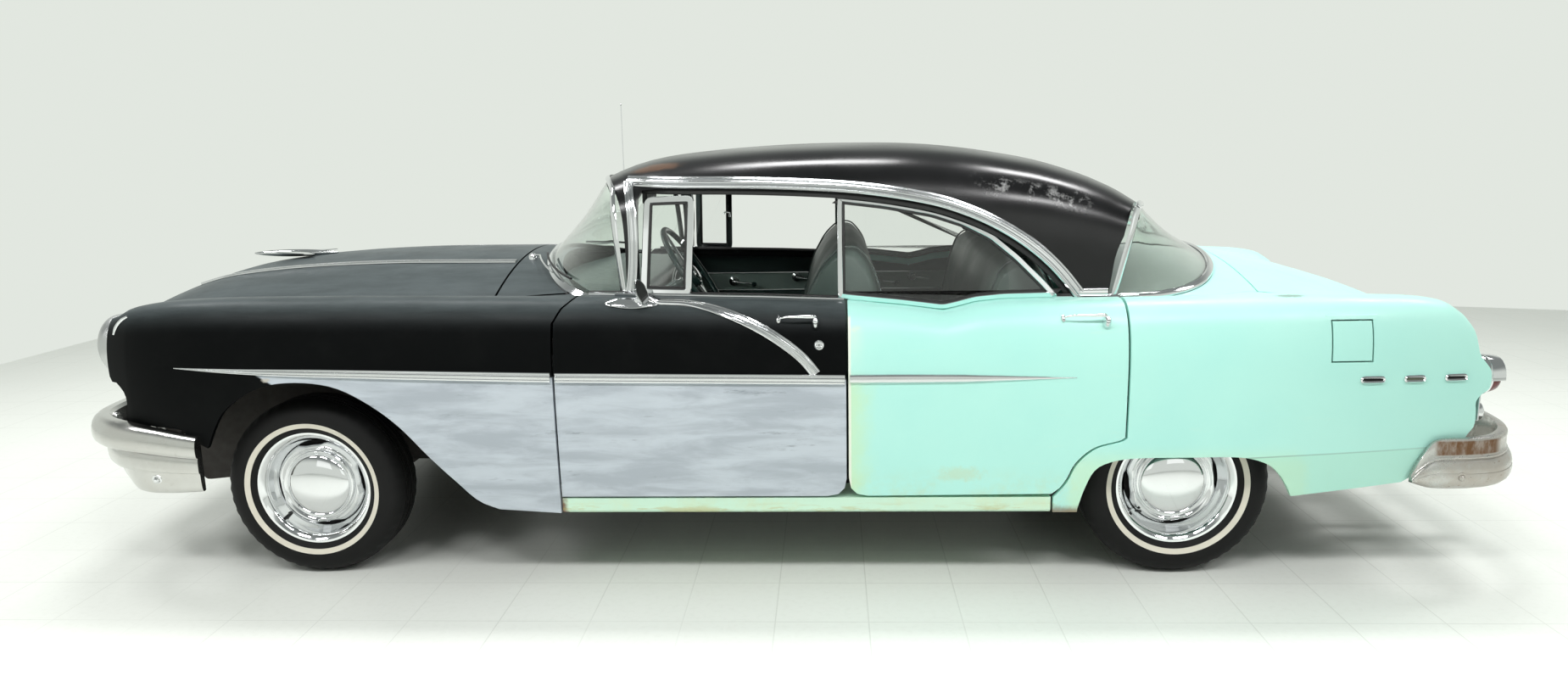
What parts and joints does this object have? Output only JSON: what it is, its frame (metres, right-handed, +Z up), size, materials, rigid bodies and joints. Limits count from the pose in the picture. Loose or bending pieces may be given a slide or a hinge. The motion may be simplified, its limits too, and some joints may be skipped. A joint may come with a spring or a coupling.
{
  "type": "1950s four-door hardtop saloon car",
  "caption": "Full-size fifties pillarless hardtop saloon with fins at the tail, opening doors, bonnet and boot lid, steered front wheels and rolling wheels.",
  "frame": {"origin": "centre of the footprint of the whole car on the ground it stands on", "axes": "+X to the tail of the car, +Y to its right side, +Z up; the nose points to -X"},
  "size_m": [5.2199, 1.9088, 1.733],
  "materials": {
    "mint_paint": "aged semi-gloss paint",
    "black_paint": "satin to gloss paint, worn",
    "chrome_plate": "polished plating, dull at the rear",
    "dark_steel": "dull underbody paint",
    "tyre_rubber": "matt",
    "seat_trim": "matt",
    "tinted_glass": "clear with a green tint"
  },
  "bodies": {
    "body": {"quarter_left": "mint_paint", "quarter_right": "mint_paint", "rocker_left": "mint_paint", "rocker_right": "mint_paint", "rear_deck": "mint_paint", "tail_panel": "mint_paint", "fender_left": "black_paint", "fender_right": "black_paint", "roof": "black_paint", "cowl": "black_paint", "nose_panel": "black_paint", "front_bumper": "chrome_plate", "rear_bumper": "chrome_plate", "grille": "chrome_plate", "headlamp_left": "chrome_plate", "headlamp_right": "chrome_plate", "tail_lamp_left": "chrome_plate", "tail_lamp_right": "chrome_plate", "antenna": "chrome_plate", "floor_pan": "dark_steel", "chassis_frame": "dark_steel", "driveline": "dark_steel", "rear_axle": "dark_steel", "exhaust": "dark_steel", "fuel_tank": "dark_steel", "dashboard": "seat_trim", "front_seat": "seat_trim", "rear_seat": "seat_trim", "windshield": "tinted_glass", "rear_window": "tinted_glass"},
    "front_left_door": {"door_front_left": "black_paint", "vent_window_left": "tinted_glass", "door_mirror": "chrome_plate"},
    "front_right_door": {"door_front_right": "black_paint", "vent_window_right": "tinted_glass"},
    "rear_left_door": {"door_rear_left": "mint_paint", "rear_door_window_left": "tinted_glass"},
    "rear_right_door": {"door_rear_right": "mint_paint", "rear_door_window_right": "tinted_glass"},
    "bonnet": {"hood": "black_paint", "hood_ornament": "chrome_plate"},
    "boot_lid": {"trunk_lid": "mint_paint"},
    "filler_door": {"fuel_door": "mint_paint"},
    "left_knuckle": {"knuckle_left": "dark_steel"},
    "right_knuckle": {"knuckle_right": "dark_steel"},
    "steering": {"steering_wheel": "black_paint"},
    "front_left_wheel": {"tyre_front_left": "tyre_rubber", "wheel_front_left": "chrome_plate"},
    "front_right_wheel": {"tyre_front_right": "tyre_rubber", "wheel_front_right": "chrome_plate"},
    "rear_left_wheel": {"tyre_rear_left": "tyre_rubber", "wheel_rear_left": "chrome_plate"},
    "rear_right_wheel": {"tyre_rear_right": "tyre_rubber", "wheel_rear_right": "chrome_plate"}
  },
  "joints": [
    {"name": "front_left_door_hinge", "type": "hinge", "parent": "body", "child": "front_left_door", "pos_m": [-0.755, -0.954, 0.72], "axis": [0, 0, -1], "range_deg": [0, 65]},
    {"name": "front_right_door_hinge", "type": "hinge", "parent": "body", "child": "front_right_door", "pos_m": [-0.755, 0.954, 0.72], "axis": [0, 0, 1], "range_deg": [0, 65]},
    {"name": "rear_left_door_hinge", "type": "hinge", "parent": "body", "child": "rear_left_door", "pos_m": [0.248, -0.954, 0.72], "axis": [0, 0, -1], "range_deg": [0, 65]},
    {"name": "rear_right_door_hinge", "type": "hinge", "parent": "body", "child": "rear_right_door", "pos_m": [0.248, 0.954, 0.72], "axis": [0, 0, 1], "range_deg": [0, 65]},
    {"name": "bonnet_hinge", "type": "hinge", "parent": "body", "child": "bonnet", "pos_m": [-1.045, 0, 1.128], "axis": [0, 1, 0], "range_deg": [0, 50]},
    {"name": "boot_lid_hinge", "type": "hinge", "parent": "body", "child": "boot_lid", "pos_m": [1.703, 0, 1.086], "axis": [0, -1, 0], "range_deg": [0, 60]},
    {"name": "filler_door_hinge", "type": "hinge", "parent": "body", "child": "filler_door", "pos_m": [1.847, -0.945, 0.86], "axis": [0, 0, -1], "range_deg": [0, 100]},
    {"name": "left_kingpin", "type": "hinge", "parent": "body", "child": "left_knuckle", "pos_m": [-1.7, -0.68, 0.328], "axis": [0, 0, 1], "range_deg": [-28, 28]},
    {"name": "right_kingpin", "type": "hinge", "parent": "body", "child": "right_knuckle", "pos_m": [-1.7, 0.68, 0.328], "axis": [0, 0, 1], "range_deg": [-28, 28]},
    {"name": "steering_shaft", "type": "hinge", "parent": "body", "child": "steering", "pos_m": [-0.337, -0.37, 1.04], "axis": [0.8368, 0, 0.5476], "range_deg": [-560, 560]},
    {"name": "front_left_axle", "type": "hinge", "parent": "left_knuckle", "child": "front_left_wheel", "pos_m": [-1.7, -0.745, 0.328], "axis": [0, -1, 0], "continuous": true},
    {"name": "front_right_axle", "type": "hinge", "parent": "right_knuckle", "child": "front_right_wheel", "pos_m": [-1.7, 0.745, 0.328], "axis": [0, -1, 0], "continuous": true},
    {"name": "rear_left_axle", "type": "hinge", "parent": "body", "child": "rear_left_wheel", "pos_m": [1.399, -0.745, 0.328], "axis": [0, -1, 0], "continuous": true},
    {"name": "rear_right_axle", "type": "hinge", "parent": "body", "child": "rear_right_wheel", "pos_m": [1.399, 0.745, 0.328], "axis": [0, -1, 0], "continuous": true}
  ],
  "couplings": [
    {"joint": "right_kingpin", "follows": "left_kingpin", "ratio": 1},
    {"joint": "steering_shaft", "follows": "left_kingpin", "ratio": 20}
  ]
}
